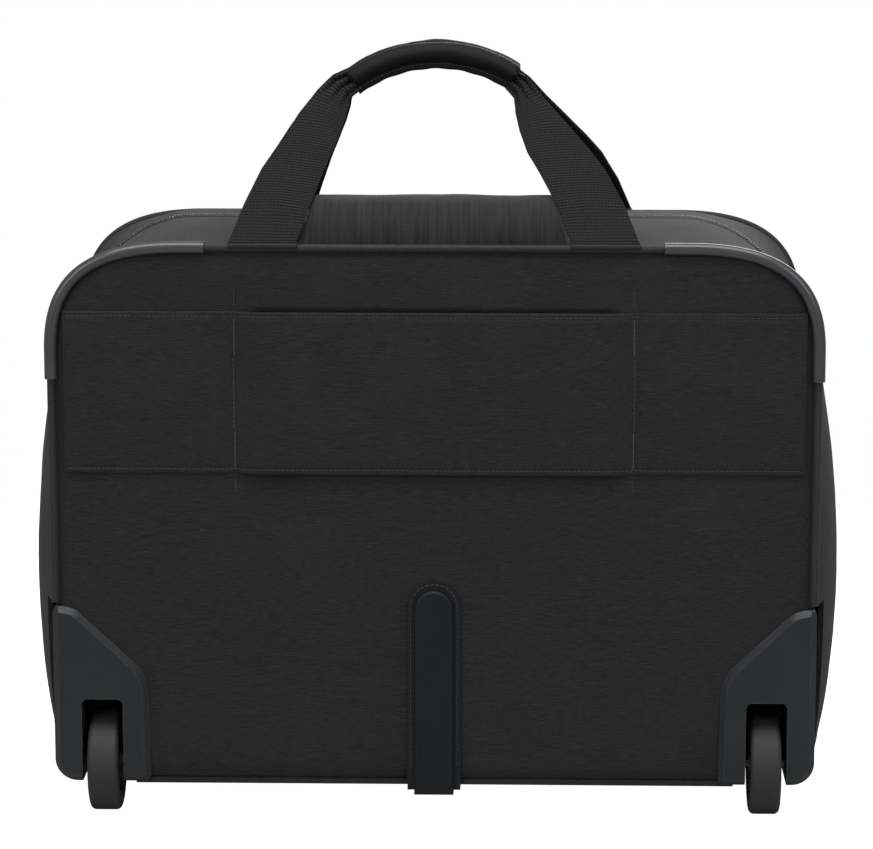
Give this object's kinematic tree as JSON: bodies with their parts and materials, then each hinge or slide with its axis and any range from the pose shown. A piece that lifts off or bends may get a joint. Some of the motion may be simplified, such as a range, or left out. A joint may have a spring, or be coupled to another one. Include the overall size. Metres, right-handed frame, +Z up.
{
  "type": "rolling laptop case",
  "caption": "Soft-sided rolling laptop case with carry loops, a telescopic pull handle, a luggage sleeve on the back and moulded wheel corners.",
  "frame": {"origin": "on the floor under the middle of the case's box", "axes": "+X across the case, +Y from the wheeled back to the pocketed front, +Z up"},
  "size_m": [0.471, 0.205, 0.4425],
  "materials": {
    "back_fabric": "fine weave with horizontal streaks",
    "ribbed_fabric": "ribbed weave",
    "base_fabric": "coated weave",
    "piping_fabric": "matt",
    "front_fabric": "fine weave",
    "webbing": "herringbone webbing",
    "wrap_fabric": "padded",
    "lining_fabric": "smooth lining",
    "zip_tape": "twill tape",
    "edge_plastic": "fine grain",
    "corner_plastic": "fine grain",
    "foot_rubber": "matt",
    "steel": "plain",
    "tyre_rubber": "matt",
    "hub_plastic": "moulded",
    "board_plastic": "sheet",
    "tube_aluminium": "anodised",
    "bracket_plastic": "moulded",
    "grip_plastic": "soft touch",
    "button_plastic": "satin",
    "zip_metal": "satin",
    "puller_rubber": "matt"
  },
  "bodies": {
    "case": {"back_panel": "back_fabric", "luggage_sleeve": "back_fabric", "rear_gusset": "ribbed_fabric", "bottom_panel": "base_fabric", "rear_piping": "piping_fabric", "left_edge_guard": "edge_plastic", "right_edge_guard": "edge_plastic", "left_wheel_housing": "corner_plastic", "right_wheel_housing": "corner_plastic", "kick_plate": "corner_plastic", "front_feet": "foot_rubber", "wheel_axles": "steel", "corner_screws": "steel", "bracket_screws": "steel", "back_board": "board_plastic", "bottom_board": "board_plastic", "inner_wall": "lining_fabric", "laptop_divider": "lining_fabric", "port_cover": "ribbed_fabric", "rear_zip_tape": "zip_tape", "outer_tubes": "tube_aluminium", "handle_bezel": "bracket_plastic", "handle_base": "bracket_plastic"},
    "left_wheel": {"left_tyre": "tyre_rubber", "left_hub": "hub_plastic", "left_bearings": "steel"},
    "right_wheel": {"right_tyre": "tyre_rubber", "right_hub": "hub_plastic", "right_bearings": "steel"},
    "pull_stage_1": {"stage_1_tubes": "tube_aluminium", "stage_1_plugs": "bracket_plastic", "stage_1_lock_pins": "steel"},
    "pull_stage_2": {"stage_2_tubes": "tube_aluminium", "stage_2_plugs": "bracket_plastic", "stage_2_lock_pins": "steel"},
    "pull_stage_3": {"stage_3_tubes": "tube_aluminium", "stage_3_plugs": "bracket_plastic", "stage_3_lock_pins": "steel", "handle_grip": "grip_plastic", "button_spring": "steel"},
    "button": {"release_button": "button_plastic", "release_rods": "steel"},
    "front_shell": {"front_gusset": "ribbed_fabric", "front_zip_tape": "zip_tape", "front_panel": "front_fabric", "front_piping": "piping_fabric", "organiser_panel": "lining_fabric", "front_pocket": "front_fabric", "pocket_zip_tape": "zip_tape"},
    "rear_carry_loop": {"rear_webbing": "webbing", "rear_grip_wrap": "wrap_fabric"},
    "front_carry_loop": {"front_webbing": "webbing", "front_grip_wrap": "wrap_fabric"},
    "left_slider": {"left_main_slider": "zip_metal"},
    "left_puller": {"left_main_puller": "puller_rubber"},
    "right_slider": {"right_main_slider": "zip_metal"},
    "right_puller": {"right_main_puller": "puller_rubber"},
    "pocket_zip_slider": {"pocket_slider": "zip_metal"},
    "pocket_zip_puller": {"pocket_puller": "puller_rubber"}
  },
  "joints": [
    {"name": "left_wheel_spin", "type": "hinge", "parent": "case", "child": "left_wheel", "pos_m": [-0.1902, -0.073, 0.0295], "axis": [1, 0, 0], "continuous": true},
    {"name": "right_wheel_spin", "type": "hinge", "parent": "case", "child": "right_wheel", "pos_m": [0.1902, -0.073, 0.0295], "axis": [1, 0, 0], "continuous": true},
    {"name": "pull_handle", "type": "slide", "parent": "case", "child": "pull_stage_1", "axis": [0, 0, 1], "range_m": [0, 0.22], "deforming": ["port_cover"]},
    {"name": "pull_stage_2_slide", "type": "slide", "parent": "pull_stage_1", "child": "pull_stage_2", "axis": [0, 0, 1], "range_m": [0, 0.22]},
    {"name": "pull_stage_3_slide", "type": "slide", "parent": "pull_stage_2", "child": "pull_stage_3", "axis": [0, 0, 1], "range_m": [0, 0.22]},
    {"name": "button_press", "type": "slide", "parent": "pull_stage_3", "child": "button", "axis": [0, 0, -1], "range_m": [0, 0.003], "stiffness_N_per_m": 600, "springref_m": -0.002, "deforming": ["button_spring"]},
    {"name": "front_shell_hinge", "type": "hinge", "parent": "case", "child": "front_shell", "pos_m": [0, 0.086, 0.024], "axis": [-1, 0, 0], "range_deg": [0, 90]},
    {"name": "rear_loop_fold", "type": "hinge", "parent": "case", "child": "rear_carry_loop", "pos_m": [0, -0.0915, 0.338], "axis": [1, 0, 0], "range_deg": [0, 180]},
    {"name": "front_loop_fold", "type": "hinge", "parent": "front_shell", "child": "front_carry_loop", "pos_m": [0, 0.0875, 0.334], "axis": [-1, 0, 0], "range_deg": [0, 130]},
    {"name": "left_zip_slide", "type": "slide", "parent": "case", "child": "left_slider", "axis": [-1, 0, 0], "range_m": [0, 0.12]},
    {"name": "left_puller_flip", "type": "hinge", "parent": "left_slider", "child": "left_puller", "pos_m": [-0.0087, 0.004, 0.3423], "axis": [0, 1, 0], "range_deg": [0, 120]},
    {"name": "right_zip_slide", "type": "slide", "parent": "case", "child": "right_slider", "axis": [1, 0, 0], "range_m": [0, 0.12]},
    {"name": "right_puller_flip", "type": "hinge", "parent": "right_slider", "child": "right_puller", "pos_m": [0.0087, 0.004, 0.3423], "axis": [0, -1, 0], "range_deg": [0, 120]},
    {"name": "pocket_zip_slide", "type": "slide", "parent": "front_shell", "child": "pocket_zip_slider", "axis": [1, 0, 0], "range_m": [0, 0.286]},
    {"name": "pocket_puller_flip", "type": "hinge", "parent": "pocket_zip_slider", "child": "pocket_zip_puller", "pos_m": [-0.1452, 0.09525, 0.2228], "axis": [0, 1, 0], "range_deg": [0, 150]}
  ],
  "couplings": [
    {"joint": "pull_stage_2_slide", "follows": "pull_handle", "ratio": 1},
    {"joint": "pull_stage_3_slide", "follows": "pull_handle", "ratio": 1}
  ]
}
